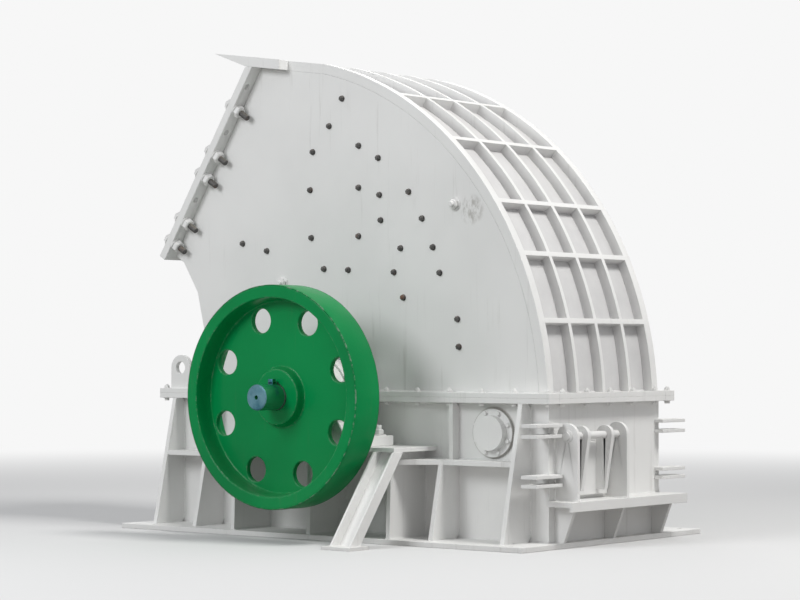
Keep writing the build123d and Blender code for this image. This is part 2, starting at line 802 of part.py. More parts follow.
def wheels():
    """Flywheel with round windows, and the grooved drive pulley of the same size."""
    low = wheel_r - wheel_edge
    plain = [(low, 0), (wheel_r, wheel_edge), (wheel_r, wheel_w - wheel_edge), (low, wheel_w)]
    back = wheel_face - wheel_w
    for name, rim, sign in (("flywheel", plain, -1), ("drive_pulley", rim_grooves(), 1)):
        section = outline(*[(r, sign * (back + y)) for r, y in wheel_profile(rim)])
        wheel = Pos(0, 0, shaft_z) * revolve(section, axis=Axis.Y, revolution_arc=360)
        for i in range(window_count):
            a = radians(360 / window_count * i + window_turn)
            x, z = window_circle * cos(a), shaft_z + window_circle * sin(a)
            wheel -= round_bar(window_r, sign * (back - wheel_w), sign * (wheel_face + wheel_w), x, z)
        nodes[name] = wheel


def rear_shelf():
    """Shelf with its lip and three props, and the two cheeks that stand on it."""
    z0 = shelf_z - shelf_t
    shelf = block(rear_x, shelf_x, -shelf_half, shelf_half, z0, shelf_z)
    shelf += block(shelf_x - shelf_lip_t, shelf_x, -shelf_half, shelf_half, shelf_z - shelf_lip_h, shelf_z)
    prop = outline(
        (rear_x, base_t),
        (rear_x + prop_foot, base_t),
        (shelf_x - prop_tip, z0),
        (rear_x, z0),
    )
    cheek = area(rear_x, hinge_x + cheek_head_r, shelf_z, hinge_z)
    cheek += Pos(hinge_x, hinge_z) * Circle(cheek_head_r)
    cheek -= Pos(hinge_x, hinge_z) * Circle(hinge_r)
    near_y, middle_y = door_y - cheek_half, door_y + cheek_half
    for y in (near_y, middle_y, -near_y):
        shelf += across(prop, y - cheek_t / 2, y + cheek_t / 2)
    nodes["rear_shelf"] = shelf
    cheeks = [across(cheek, y - cheek_t / 2, y + cheek_t / 2) for y in (near_y, middle_y)]
    nodes["door_cheeks"] = group(cheeks)


def rear_door():
    """Door that hangs by two arms from a pin between the cheeks."""
    pin_half = cheek_half + cheek_t / 2 + hinge_end
    nodes["door_hinge_pin"] = round_bar(hinge_r, door_y - pin_half, door_y + pin_half, hinge_x, hinge_z)
    x0 = rear_x + door_gap
    x1 = x0 + door_t
    low = door_low + door_arm_low
    arm = outline((x1, low), (x1 + door_arm_foot, low), (hinge_x + door_eye, hinge_z), (x1, hinge_z))
    arm += Pos(hinge_x, hinge_z) * Circle(door_eye)
    arm -= Pos(hinge_x, hinge_z) * Circle(hinge_r + run_fit)
    arm = arm & area(x1, far, 0, far)
    door = block(x0, x1, door_y - door_half, door_y + door_half, door_low, door_top)
    for y in (door_y - door_arm_y, door_y + door_arm_y):
        door += across(arm, y - door_arm_t / 2, y + door_arm_t / 2)
    nodes["rear_door"] = door


def covers_and_lugs():
    """Round cups on the side walls, lugs round the rear corners and eye plates over the feed end."""
    cap = round_bar(cap_flange_r, outer_half, outer_half + cap_flange_t, cap_x, cap_z)
    cap += round_bar(cap_r, outer_half, outer_half + cap_h, cap_x, cap_z)
    cap -= round_bar(cap_r - cap_wall, outer_half - cap_wall, outer_half + cap_h - cap_wall, cap_x, cap_z)
    nodes["round_covers"] = both(cap)
    corner = outline(
        (lug_front_x, outer_half),
        (lug_front_x, lug_reach),
        (lug_rear_x, lug_reach),
        (lug_rear_x, lug_inner_y),
        (rear_x, lug_inner_y),
        (rear_x, outer_half),
    )
    plate = extrude(Plane.XY.offset(-lug_t / 2) * corner, amount=lug_t)
    plate -= Pos(lug_hole_x, lug_hole_y, 0) * Cylinder(lug_hole_r, lug_t * 2)
    nodes["corner_lugs"] = both(group([Pos(0, 0, z) * plate for z in lug_z]))
    top = split_top + eye_h - eye_w / 2
    eye = area(eye_x - eye_w / 2, eye_x + eye_w / 2, split_top, top) + Pos(eye_x, top) * Circle(eye_w / 2)
    eye -= Pos(eye_x, top) * Circle(eye_hole_r)
    y = outer_half + flange_reach / 2
    nodes["eye_plates"] = both(across(eye, y - eye_t / 2, y + eye_t / 2))


upper_housing()
inlet()
shell_ribs()
split_flanges()
side_liners()
end_liners()
lower_housing()
base()
side_gussets()
pedestals()
bearings()
rotor_shaft()
rotor()
grate()
wheels()
rear_shelf()
rear_door()
covers_and_lugs()

os.makedirs("parts", exist_ok=True)
for name, shape in nodes.items():
    export_step(shape, "parts/" + name + ".step")
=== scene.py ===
import json
from math import cos, pi, radians, sin

import bmesh
import bpy
from bpy.props import FloatProperty, FloatVectorProperty, IntProperty, PointerProperty
from mathutils import Matrix, Vector


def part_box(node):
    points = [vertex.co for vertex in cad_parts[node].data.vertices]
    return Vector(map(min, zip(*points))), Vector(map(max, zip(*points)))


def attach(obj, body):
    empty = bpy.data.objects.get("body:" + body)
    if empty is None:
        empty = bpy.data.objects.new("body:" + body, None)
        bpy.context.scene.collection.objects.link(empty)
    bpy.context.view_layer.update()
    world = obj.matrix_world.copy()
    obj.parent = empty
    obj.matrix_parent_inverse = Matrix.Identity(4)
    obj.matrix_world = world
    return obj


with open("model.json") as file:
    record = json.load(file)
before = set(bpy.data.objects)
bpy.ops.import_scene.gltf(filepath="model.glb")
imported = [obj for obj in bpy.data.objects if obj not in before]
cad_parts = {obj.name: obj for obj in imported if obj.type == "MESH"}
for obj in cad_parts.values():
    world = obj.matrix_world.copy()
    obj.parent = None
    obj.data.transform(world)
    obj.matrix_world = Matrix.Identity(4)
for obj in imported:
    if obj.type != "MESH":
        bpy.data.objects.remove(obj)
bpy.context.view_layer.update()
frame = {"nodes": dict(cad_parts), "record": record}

bl_info = {
    "name": "Hammer crusher finish",
    "version": (1, 0, 0),
    "blender": (4, 5, 0),
    "location": "3D View > Sidebar > Crusher",
    "description": "Fasteners, welds, paint and a studio for a hammer crusher",
    "category": "Object",
}

nodes = frame["nodes"]

# Material slots of the record
WHITE = "white_paint"
GREEN = "green_paint"
SHAFT = "shaft_steel"
WEAR = "wear_steel"
ROTOR = "rotor_steel"
BEARING = "bearing_paint"

# Places read from the boxes of the CAD pieces. All lengths in this file are in metres.
flange_low, flange_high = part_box("upper_flange_sides")
under_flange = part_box("lower_flange_sides")[0].z
wall_low, wall_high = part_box("lower_side_wall_drive_side")
shaft_low, shaft_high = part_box("rotor_shaft")
shaft_z = (shaft_low.z + shaft_high.z) / 2
outer_y = wall_high.y

# Sizes of the CAD that no box gives: the feed wall and the shell
FEED_FOOT = -1.060
SHELL_FOOT = 1.422
SHELL_R = 2.070
SHELL_CENTRE = (-0.645, 0.765)

# Plates of the lower housing that are welded to it. A weld at a gusset's foot ends short of the
# outermost plate, and welds stay clear of the gussets' cut corners.
GUSSET_HALF = 0.014
TALL_GUSSETS = (-1.326, -0.990, 1.350)
FOOT_WELD_SHORT = 0.15
PEDESTAL_WEBS = (-0.600, 0.0, 0.600)
WEB_FOOT = 0.905
DECK_THICK = 0.025
WALL_RIB_FACES = (0.456, 0.484)
WALL_RIB_INNER = 0.614
WALL_RIB_END = 1.336
EYE_FACES = (0.595, 0.625)
REAR_SHELF_THICK = 0.03
CHEEK_THICK = 0.025
CHEEK_TOP_ROUND = 0.07
SNIPE_CLEAR = 0.03
SEAM_END = 0.02

# Inlet flange, whose holes lie on a slant
INLET_SLOPE = radians(57.7)
INLET_LENGTH = 1.3619
INLET_THICK = 0.050
INLET_FOOT = (-1.455, 0, 1.707)
INLET_HOLE_OUT = 0.045
INLET_HOLE_END = 0.115
INLET_HOLES = 8
EMPTY_HOLES = (2, 5, 7)

# Bearings, covers and hubs. The key's seat is the shaft's radius in a hub.
BEARING_HALF = 0.115
EAR_HEIGHT = 0.055
FOOT_THICK = 0.060
CAP_R = 0.222
COVER_FLANGE = 0.018
SHAFT_OVERHANG = 0.110
HUB_BEHIND = 0.060
KEY_SEAT = 0.075

# Liner bolts by x and z: bare ones, then the larger painted ones
LINER_BOLTS = (
    (-0.02, 2.62), (-0.12, 2.46), (-0.25, 2.31), (0.11, 2.33), (0.26, 2.25), (0.11, 2.08),
    (-0.27, 2.08), (0.27, 2.03), (0.49, 2.04), (0.28, 1.88), (0.59, 1.88), (0.11, 1.79),
    (-0.26, 1.79), (-0.82, 1.77), (-0.62, 1.72), (0.43, 1.71), (0.67, 1.71), (-0.16, 1.60),
    (0.03, 1.59), (0.38, 1.57), (0.72, 1.56), (0.45, 1.42), (0.85, 1.29), (0.86, 1.13),
)
PAINTED_BOLTS = ((0.83, 1.955), (-0.49, 1.52))

# Darker patch beside a painted bolt: x, z and reach
DARK_PATCH = (0.95, 1.92, 0.10)

CASTINGS = (
    "bearing_bases", "bearing_caps", "flywheel", "hammers", "impact_liner", "rotor_discs",
)
SHARP_ANGLE = 35.0
WELD_ANGLE = 60.0
WELD_PASS = 0.02

# DIRT_AND_SHADE is the colour of real dirt and streaks, and also of the painted shade round the
# bolted covers.
DIRT_AND_SHADE = (0.16, 0.135, 0.105)
DUST = (0.44, 0.40, 0.34)
GREY_DUST = (0.56, 0.555, 0.56)
RUST = (0.20, 0.075, 0.03)


# Shader expressions

class Wire:
    """A value in a material. Arithmetic on it adds Math nodes."""

    def __init__(self, finish, socket):
        self.finish = finish
        self.socket = socket

    def math(self, operation, *values):
        return self.finish.node("Math", {"operation": operation}, dict(enumerate(values)))

    def __add__(self, other):
        return self.math("ADD", self, other)

    def __radd__(self, other):
        return self.math("ADD", other, self)

    def __sub__(self, other):
        return self.math("SUBTRACT", self, other)

    def __rsub__(self, other):
        return self.math("SUBTRACT", other, self)

    def __mul__(self, other):
        return self.math("MULTIPLY", self, other)

    def __rmul__(self, other):
        return self.math("MULTIPLY", other, self)

    def __truediv__(self, other):
        return self.math("DIVIDE", self, other)

    def __pow__(self, other):
        return self.math("POWER", self, other)

    def __abs__(self):
        return self.math("ABSOLUTE", self)

    def most(self, other):
        return self.math("MAXIMUM", self, other)

    def least(self, other):
        return self.math("MINIMUM", self, other)

    def step(self, start, end):
        """0 at start and 1 at end, with a smooth change between them, in either direction."""
        rise = self.finish.node(
            "MapRange",
            {"interpolation_type": "SMOOTHSTEP", "clamp": True},
            {"Value": self, "From Min": min(start, end), "From Max": max(start, end)},
        )
        return rise if end > start else 1 - rise


class Finish:
    """A material, or the world's, built node by node."""

    def __init__(self, name, owner=None):
        self.material = owner or bpy.data.materials.new(name)
        self.material.use_nodes = True
        self.tree = self.material.node_tree
        self.tree.nodes.clear()
        where = self.tree.nodes.new("ShaderNodeTexCoord")
        self.place = Wire(self, where.outputs["Object"])
        self.normal = Wire(self, where.outputs["Normal"])

    def node(self, kind, settings=None, sockets=None, out=0):
        """Adds a node, sets it up, then gives its sockets values or links."""
        made = self.tree.nodes.new("ShaderNode" + kind)
        for key, value in (settings or {}).items():
            setattr(made, key, value)
        for key, value in (sockets or {}).items():
            if isinstance(value, Wire):
                self.tree.links.new(value.socket, made.inputs[key])
            elif isinstance(value, (tuple, list)) and made.inputs[key].type == "RGBA":
                made.inputs[key].default_value = (*value[:3], 1)
            else:
                made.inputs[key].default_value = value
        return Wire(self, made.outputs[out]) if made.outputs else None

    def mix(self, low, high, factor):
        """Colour between two colours."""
        settings = {"data_type": "RGBA", "clamp_factor": True}
        return self.node("Mix", settings, {0: factor, 6: low, 7: high}, out=2)

    def noise(self, scale, detail=3.0, rough=0.55, stretch=None):
        """Noise over the object's coordinates, which a stretch scales by axis."""
        where = self.place
        if stretch:
            where = self.node("Mapping", None, {"Vector": where, "Scale": stretch})
        sockets = {"Vector": where, "Scale": scale, "Detail": detail, "Roughness": rough}
        return self.node("TexNoise", None, sockets)

    def axis(self, vector, index):
        return self.node("SeparateXYZ", None, {0: vector}, out=index)

    def bump(self, height, distance, strength, under=None):
        """Normal from a height, over another normal if there is one."""
        sockets = {"Height": height, "Distance": distance, "Strength": strength}
        if under:
            sockets["Normal"] = under
        return self.node("Bump", None, sockets)

    def surface(self, sockets):
        """Ends the material in a Principled shader."""
        shader = self.node("BsdfPrincipled", None, sockets)
        self.node("OutputMaterial", None, {"Surface": shader})
        return self.material


# Masks

def dark_patch(finish, x, z, reach):
    """Darker patch on the flywheel side of the housing, 1 in its middle."""
    across = (finish.axis(finish.place, 0) - x) / reach
    up = (finish.axis(finish.place, 2) - z) / reach
    inside = (across * across + up * up).step(1.0, 0.1)
    side = finish.axis(finish.place, 1).step(-0.5, -0.55)
    return inside * side * finish.noise(34.0, 5.0, 0.7, (1.0, 1.0, 0.5)).step(0.42, 0.66)


def shade_and_grime_ring(finish, x, z, radius):
    """1 in a thin ring on the side plates round a bolted cover: grime, and painted shade where the
    cover's edge meets the plate.
    """
    across = finish.axis(finish.place, 0) - x
    up = finish.axis(finish.place, 2) - z
    away = (across * across + up * up) ** 0.5 - radius
    outside = abs(finish.axis(finish.place, 1)).step(outer_y - 0.004, outer_y - 0.001)
    return away.step(0.016, 0.003) * away.step(-0.004, 0.0) * outside


def between_ribs(finish):
    """1 on the outside of the curved shell, between its ribs, where dust stays."""
    x = finish.axis(finish.place, 0) - SHELL_CENTRE[0]
    z = finish.axis(finish.place, 2) - SHELL_CENTRE[1]
    radius = (x * x + z * z) ** 0.5
    inside = abs(finish.axis(finish.place, 1)).step(0.568, 0.562)
    outside = radius.step(SHELL_R - 0.014, SHELL_R - 0.006)
    return outside * radius.step(SHELL_R + 0.05, SHELL_R + 0.01) * inside


def worn_edges(finish, reach):
    """1 in broken patches along the sharp edges, where the surface is rubbed."""
    eased = finish.node("Bevel", {"samples": 4}, {"Radius": reach})
    own = finish.node("NewGeometry", out=1)
    same = finish.node("VectorMath", {"operation": "DOT_PRODUCT"}, {0: eased, 1: own}, out=1)
    return same.step(0.996, 0.93) * finish.noise(24.0, 5.0, 0.75).step(0.46, 0.62)


def weather(finish, colour, rough, dust, streaks):
    """Dust on what faces up and near the floor, and faint streaks down upright faces."""
    z = finish.axis(finish.place, 2)
    up = finish.axis(finish.normal, 2)
    cloud = finish.noise(2.3, 5.0, 0.6)
    speck = finish.noise(38.0, 4.0, 0.7)
    top = up.step(0.35, 0.9) * cloud.step(0.3, 0.62)
    low = z.step(0.75, 0.0) * cloud.step(0.35, 0.7) * 0.4
    mask = (top.most(low) * (0.55 + 0.45 * speck)) * dust
    run = finish.noise(1.0, 4.0, 0.65, (21.0, 21.0, 1.3)).step(0.56, 0.78)
    upright = 1 - abs(up)
    soot = run * upright * cloud.step(0.38, 0.6) * streaks
    colour = finish.mix(colour, DIRT_AND_SHADE, soot)
    colour = finish.mix(colour, DUST, mask)
    return colour, (rough + mask * 0.45 + soot * 0.25).least(0.95)


# Materials

def worn(slot):
    """Name of the weathered material made for a slot of the record."""
    return "worn_" + slot


def housing_marks(finish, base):
    """The housing's paint with its darker patch, grime and painted shade round the covers, and dust
    between ribs.
    """
    base = finish.mix(base, DIRT_AND_SHADE, dark_patch(finish, *DARK_PATCH) * 0.5)
    low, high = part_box("round_covers")
    radius = (high.x - low.x) / 2
    cover_shade_and_grime = shade_and_grime_ring(finish, (low.x + high.x) / 2, (low.z + high.z) / 2, radius)
    # Grime and painted shade in a thin ring round each bolted cover.
    base = finish.mix(base, DIRT_AND_SHADE, cover_shade_and_grime * (0.2 + 0.6 * finish.noise(19.0, 4.0, 0.6)))
    dusty = between_ribs(finish) * (0.3 + 0.7 * finish.noise(7.0, 5.0, 0.6))
    return finish.mix(base, GREY_DUST, dusty)


def paint(slot, colour, gloss, shine, dust, streaks, lumps, fade, housing=False):
    """Sprayed enamel, slightly uneven, with small chips, on plate or on a rougher casting."""
    finish = Finish(worn(slot))
    patch = finish.noise(1.4, 3.0, 0.5)
    peel = finish.noise(160.0, 2.0, 0.5)
    wave = finish.noise(3.2, 1.0, 0.4)
    cast = finish.noise(55.0, 3.0, 0.6)
    darker = tuple(c * fade for c in colour)
    base = finish.mix(darker, colour, patch.step(0.25, 0.72))
    rub = worn_edges(finish, 0.006)
    base = finish.mix(base, tuple(0.35 + c * 0.3 for c in darker), rub * 0.55)
    chip = finish.noise(47.0, 6.0, 0.75).step(0.735, 0.765)
    base = finish.mix(base, RUST, chip * 0.8)
    if housing:
        base = housing_marks(finish, base)
    rough = gloss + patch * 0.08 + chip * 0.4 + rub * 0.15
    base, rough = weather(finish, base, rough, dust, streaks)
    swell = finish.bump(wave, 0.006, 0.35)
    skin = finish.bump(peel * 0.6 + cast * lumps - chip * 0.6, 0.0006, 0.6, swell)
    return finish.surface(
        {
            "Base Color": base,
            "Roughness": rough,
            "Normal": skin,
            "Specular IOR Level": shine,
            "Coat Weight": 0.05,
        }
    )


def turned_steel(slot, spray):
    """Machined steel with turning marks round the shaft's axis, blue with oil at the shaft's ends.

    The outside of the shaft beyond the wheels carries some of the wheels' paint.
    """
    finish = Finish(worn(slot))
    x = finish.axis(finish.place, 0)
    y = finish.axis(finish.place, 1)
    z = finish.axis(finish.place, 2) - shaft_z
    radius = (x * x + z * z) ** 0.5
    marks = finish.noise(1.0, 2.0, 0.5, (1.0, 420.0, 1.0))
    rings = finish.node("Math", {"operation": "SINE"}, {0: radius * 2600.0 + y * 900.0})
    film = finish.noise(9.0, 4.0, 0.6)
    steel = finish.mix((0.16, 0.17, 0.175), (0.34, 0.35, 0.36), film.step(0.3, 0.7))
    oiled = finish.mix((0.025, 0.11, 0.15), (0.12, 0.24, 0.29), film.step(0.3, 0.7))
    end = abs(y).step(shaft_high.y - 0.165, shaft_high.y - 0.155)
    colour = finish.mix(steel, oiled, end)
    stain = finish.noise(31.0, 5.0, 0.7).step(0.6, 0.75)
    colour = finish.mix(colour, RUST, stain * 0.35)
    around = abs(finish.axis(finish.normal, 1)).step(0.6, 0.3)
    sprayed = end * around * film.step(0.25, 0.4)
    colour = finish.mix(colour, tuple(c * 0.8 for c in spray), sprayed * 0.9)
    bump = finish.bump(rings * 0.5 + marks, 0.0003, 0.5)
    rough = 0.32 + film * 0.18 + stain * 0.3
    metal = (0.9 - stain * 0.5) * (1 - sprayed * 0.9)
    return finish.surface(
        {"Base Color": colour, "Roughness": rough, "Metallic": metal, "Normal": bump}
    )


def casting(slot, colour, rust_share):
    """Rough cast steel with scale, rust in patches and polished high spots."""
    finish = Finish(worn(slot))
    grain = finish.noise(120.0, 5.0, 0.7)
    scale = finish.noise(13.0, 6.0, 0.65)
    lumps = finish.noise(26.0, 3.0, 0.6)
    rust = scale.step(0.62 - 0.3 * rust_share, 0.72)
    pale = tuple(c * 1.9 for c in colour)
    polished = tuple(c * 2.6 for c in colour)
    base = finish.mix(colour, pale, grain.step(0.4, 0.75))
    base = finish.mix(base, RUST, rust * 0.75)
    base = finish.mix(base, polished, worn_edges(finish, 0.008) * 0.7)
    base, rough = weather(finish, base, 0.55 + rust * 0.3, 0.6, 0.2)
    metal = 0.45 - rust * 0.4
    bump = finish.bump(lumps * 0.7 + grain * 0.3, 0.0022, 0.7)
    return finish.surface(
        {"Base Color": base, "Roughness": rough, "Metallic": metal, "Normal": bump}
    )


# Mesh helpers

def stack(mesh, place, sections, segments=16):
    """Adds a solid of round or many-sided sections, each a radius and a height along +Z.

    Its outer surface is closed. The sections between its ends keep their caps inside it, and its
    bottom cap faces inward.
    """
    (radius, height), *rest = sections
    part = bmesh.new()
    low = Matrix.Translation((0, 0, height))
    made = bmesh.ops.create_circle(
        part, cap_ends=True, segments=segments, radius=radius, matrix=low
    )
    bottom = face = made["verts"][0].link_faces[0]
    for wide, high in rest:
        grown = bmesh.ops.extrude_face_region(part, geom=[face])["geom"]
        ring = [piece for piece in grown if isinstance(piece, bmesh.types.BMVert)]
        face = next(piece for piece in grown if isinstance(piece, bmesh.types.BMFace))
        bmesh.ops.translate(part, vec=(0, 0, high - height), verts=ring)
        bmesh.ops.scale(part, vec=(wide / radius, wide / radius, 1), verts=ring)
        radius, height = wide, high
    bottom.normal_flip()
    add_part(mesh, part, place)


def add_part(mesh, part, place):
    """Moves a small solid to its place and joins it to a mesh."""
    joined = bpy.data.meshes.new("part")
    part.to_mesh(joined)
    part.free()
    joined.transform(place)
    mesh.from_mesh(joined)
    bpy.data.meshes.remove(joined)


def facing(point, normal, turn=0.0):
    """Place at a point with +Z along a direction."""
    spin = Vector(normal).to_track_quat("Z", "Y").to_matrix().to_4x4()
    return Matrix.Translation(point) @ spin @ Matrix.Rotation(turn, 4, "Z")


def stud_end(size, low, high):
    """Sections of a bare thread with a chamfered end."""
    return [(size / 2, low), (size / 2, high - size * 0.1), (size * 0.4, high)]


def add_nut(mesh, place, size, stud=0.6, washer=1.25):
    """Washer, chamfered hexagon nut and stud end, for a thread of the given diameter."""
    corners = size * 0.92
    lip = size * 0.16
    washer_r = size * washer
    stack(mesh, place, [(washer_r, 0), (washer_r, lip * 0.8), (washer_r - lip / 3, lip)], 20)
    high = lip + size * 0.82
    edge = size * 0.12
    chamfered = corners * 0.84
    shape = [(chamfered, lip), (corners, lip + edge), (corners, high - edge), (chamfered, high)]
    stack(mesh, place, shape, 6)
    if stud:
        stack(mesh, place, stud_end(size, high, high + size * stud), 12)


def add_head(mesh, place, size):
    """Hexagon bolt head on a washer."""
    add_nut(mesh, place, size, stud=0.0)


def add_block(mesh, low, high, edge):
    """Box between two corners with rounded edges."""
    low, high = Vector(low), Vector(high)
    part = bmesh.new()
    bmesh.ops.create_cube(part, size=1.0, matrix=Matrix.Diagonal((*(high - low), 1)))
    bmesh.ops.bevel(
        part, geom=part.edges[:], offset=edge, offset_type="OFFSET", segments=2, profile=0.5,
        affect="EDGES", material=-1,
    )
    add_part(mesh, part, Matrix.Translation((low + high) / 2))


def add_weld(mesh, start, end, radius):
    """Bead of weld metal along a line, rippled by its passes."""
    start, end = Vector(start), Vector(end)
    way = end - start
    count = max(2, round(way.length / WELD_PASS))
    step = way.length / count
    sections = [(radius * 0.55, 0)]
    for i in range(count):
        sections += [(radius, step * (i + 0.35)), (radius * 0.82, step * (i + 0.9))]
    sections.append((radius * 0.55, way.length))
    stack(mesh, facing(start, way), sections, 6)


def finish_piece(name, mesh, body, slot, angle=SHARP_ANGLE):
    """Makes an object of a bmesh, shaded smooth but for its sharp edges, and hangs it on a body."""
    data = bpy.data.meshes.new(name)
    mesh.to_mesh(data)
    mesh.free()
    data.shade_smooth()
    data.set_sharp_from_angle(angle=radians(angle))
    data.materials.append(bpy.data.materials[worn(slot)])
    piece = bpy.data.objects.new(name, data)
    bpy.context.scene.collection.objects.link(piece)
    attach(piece, body)


def even(low, high, pitch):
    """Even places from low to high, about a pitch apart."""
    count = max(1, round((high - low) / pitch))
    return [low + (high - low) * i / count for i in range(count + 1)]


def on_ring(centre_x, centre_z, radius, count):
    """Places round a centre of the side view, each with its angle."""
    for i in range(count):
        a = 2 * pi * (i + 0.5) / count
        yield centre_x + radius * cos(a), centre_z + radius * sin(a), a


# Settings

class CrusherFinish(bpy.types.PropertyGroup):
    white: FloatVectorProperty(
        name="White enamel", description="Colour of the housing", subtype="COLOR", size=3,
        min=0, max=1, default=(0.80, 0.80, 0.79),
    )
    green: FloatVectorProperty(
        name="Green enamel", description="Colour of the wheels", subtype="COLOR", size=3,
        min=0, max=1, default=(0.0005, 0.262, 0.070),
    )
    dust: FloatProperty(
        name="Dust", description="How dusty the upward faces are", default=0.14,
        min=0, max=1, subtype="FACTOR",
    )
    streaks: FloatProperty(
        name="Streaks", description="How dark the runs on upright faces are", default=0.22,
        min=0, max=1, subtype="FACTOR",
    )


class CrusherEdges(bpy.types.PropertyGroup):
    plate: FloatProperty(
        name="Plate edge", description="Rounding of cut plate", default=0.0025, unit="LENGTH"
    )
    casting: FloatProperty(
        name="Casting edge", description="Rounding of cast pieces", default=0.008, unit="LENGTH"
    )
    weld: FloatProperty(
        name="Weld", description="Radius of the weld beads", default=0.007, unit="LENGTH"
    )


class CrusherFasteners(bpy.types.PropertyGroup):
    split_bolt: FloatProperty(
        name="Split bolt", description="Thread of the bolts that hold the halves of the housing",
        default=0.018, unit="LENGTH",
    )
    split_pitch: FloatProperty(
        name="Split bolt pitch", description="Distance between those bolts", default=0.245,
        unit="LENGTH",
    )
    inlet_bolt: FloatProperty(
        name="Inlet bolt", description="Thread of the bolts in the inlet flange", default=0.036,
        unit="LENGTH",
    )
    inlet_stud: FloatProperty(
        name="Inlet stud", description="How far those bolts stand out of their nuts",
        default=0.058, unit="LENGTH",
    )
    liner_bolt: FloatProperty(
        name="Liner bolt", description="Thread of the bolts that hold the wear plates",
        default=0.018, unit="LENGTH",
    )
    bearing_bolt: FloatProperty(
        name="Bearing bolt", description="Thread of the cap and foot bolts", default=0.036,
        unit="LENGTH",
    )
    small_bolt: FloatProperty(
        name="Small bolt", description="Thread of the bolts in covers and seals", default=0.014,
        unit="LENGTH",
    )
    cover_bolts: IntProperty(
        name="Cover bolts", description="Bolts in each round cover", default=8, min=3, max=24
    )


class CrusherStage(bpy.types.PropertyGroup):
    eye: FloatVectorProperty(
        name="Eye", description="Where the camera stands", size=3, unit="LENGTH",
        default=(9.37, -11.80, 1.123),
    )
    aim: FloatVectorProperty(
        name="Aim", description="What the camera looks at", size=3, unit="LENGTH",
        default=(-0.03, 0.0, 1.42),
    )
    view: FloatProperty(
        name="View", description="How much the camera sees from side to side",
        default=radians(18.6), subtype="ANGLE",
    )
    sun: FloatProperty(
        name="Sun", description="Power of the high lamp", default=850.0, unit="POWER"
    )
    fill: FloatProperty(
        name="Fill", description="Power of the lamp at the front", default=440.0, unit="POWER"
    )
    back: FloatProperty(
        name="Back", description="Power of the lamp behind", default=150.0, unit="POWER"
    )
    air: FloatProperty(
        name="Air", description="Light from all round", default=0.49, min=0, max=1
    )


# Operators

class CRUSHER_OT_paint(bpy.types.Operator):
    """Makes the finishes and gives one to every CAD piece"""

    bl_idname = "crusher.paint"
    bl_label = "Paint the machine"

    def execute(self, context):
        look = context.scene.crusher_finish
        white, green = tuple(look.white), tuple(look.green)
        paint(
            WHITE, white, gloss=0.46, shine=0.35, dust=look.dust, streaks=look.streaks,
            lumps=0.2, fade=0.93, housing=True,
        )
        paint(
            BEARING, tuple(c * 0.97 for c in white), gloss=0.48, shine=0.35, dust=look.dust,
            streaks=look.streaks, lumps=1.2, fade=0.93,
        )
        paint(
            GREEN, green, gloss=0.30, shine=0.09, dust=look.dust * 0.5,
            streaks=look.streaks * 0.6, lumps=1.6, fade=0.74,
        )
        turned_steel(SHAFT, green)
        casting(WEAR, (0.23, 0.20, 0.17), 0.5)
        casting(ROTOR, (0.066, 0.064, 0.062), 0.2)
        for row in frame["record"]["subparts"]:
            for held in nodes[row["node"]].material_slots:
                held.material = bpy.data.materials[worn(row["material_slot"])]
        return {"FINISHED"}


class CRUSHER_OT_edges(bpy.types.Operator):
    """Rounds the sharp edges of the CAD pieces, more on castings than on plate"""

    bl_idname = "crusher.edges"
    bl_label = "Round the edges"

    def execute(self, context):
        sizes = context.scene.crusher_edges
        for name, piece in nodes.items():
            joined = piece.modifiers.new("joined", "WELD")
            joined.merge_threshold = 1e-5
            edge = piece.modifiers.new("edge", "BEVEL")
            edge.limit_method = "ANGLE"
            edge.angle_limit = radians(SHARP_ANGLE)
            edge.width = sizes.casting if name in CASTINGS else sizes.plate
            edge.segments = 2
            edge.profile = 0.5
        return {"FINISHED"}


def side_seams(sign):
    """Lines of weld on one side of the housing, each from a start to an end."""
    base_top = wall_low.z
    eye_low, eye_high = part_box("eye_plates")
    deck_low, deck_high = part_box("bearing_pedestals")
    gusset_foot = sign * (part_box("side_gussets")[1].y - FOOT_WELD_SHORT)
    y = sign * outer_y
    clear_y = y + sign * SNIPE_CLEAR
    lines = [
        ((FEED_FOOT, y, flange_high.z), (SHELL_FOOT, y, flange_high.z)),
        ((wall_low.x, y, under_flange), (wall_high.x, y, under_flange)),
        ((wall_low.x, y, base_top), (wall_high.x, y, base_top)),
        ((deck_low.x, y, deck_high.z), (deck_high.x, y, deck_high.z)),
    ]
    for x in TALL_GUSSETS:
        for face in (x - GUSSET_HALF, x + GUSSET_HALF):
            lines += [
                ((face, y, base_top + SNIPE_CLEAR), (face, y, under_flange - SNIPE_CLEAR)),
                ((face, clear_y, base_top), (face, gusset_foot, base_top)),
                ((face, clear_y, under_flange), (face, sign * flange_high.y, under_flange)),
            ]
    for x in PEDESTAL_WEBS:
        for face in (x - GUSSET_HALF, x + GUSSET_HALF):
            lines += [
                ((face, y, base_top), (face, y, deck_high.z - DECK_THICK)),
                ((face, y, base_top), (face, sign * WEB_FOOT, base_top)),
            ]
    for start, end in ((wall_low.x, -WALL_RIB_INNER), (WALL_RIB_INNER, WALL_RIB_END)):
        for z in WALL_RIB_FACES:
            lines.append(((start, y, z), (end, y, z)))
    for across in EYE_FACES:
        eye_y = sign * across
        lines.append(((eye_low.x, eye_y, flange_high.z), (eye_high.x, eye_y, flange_high.z)))
    return lines


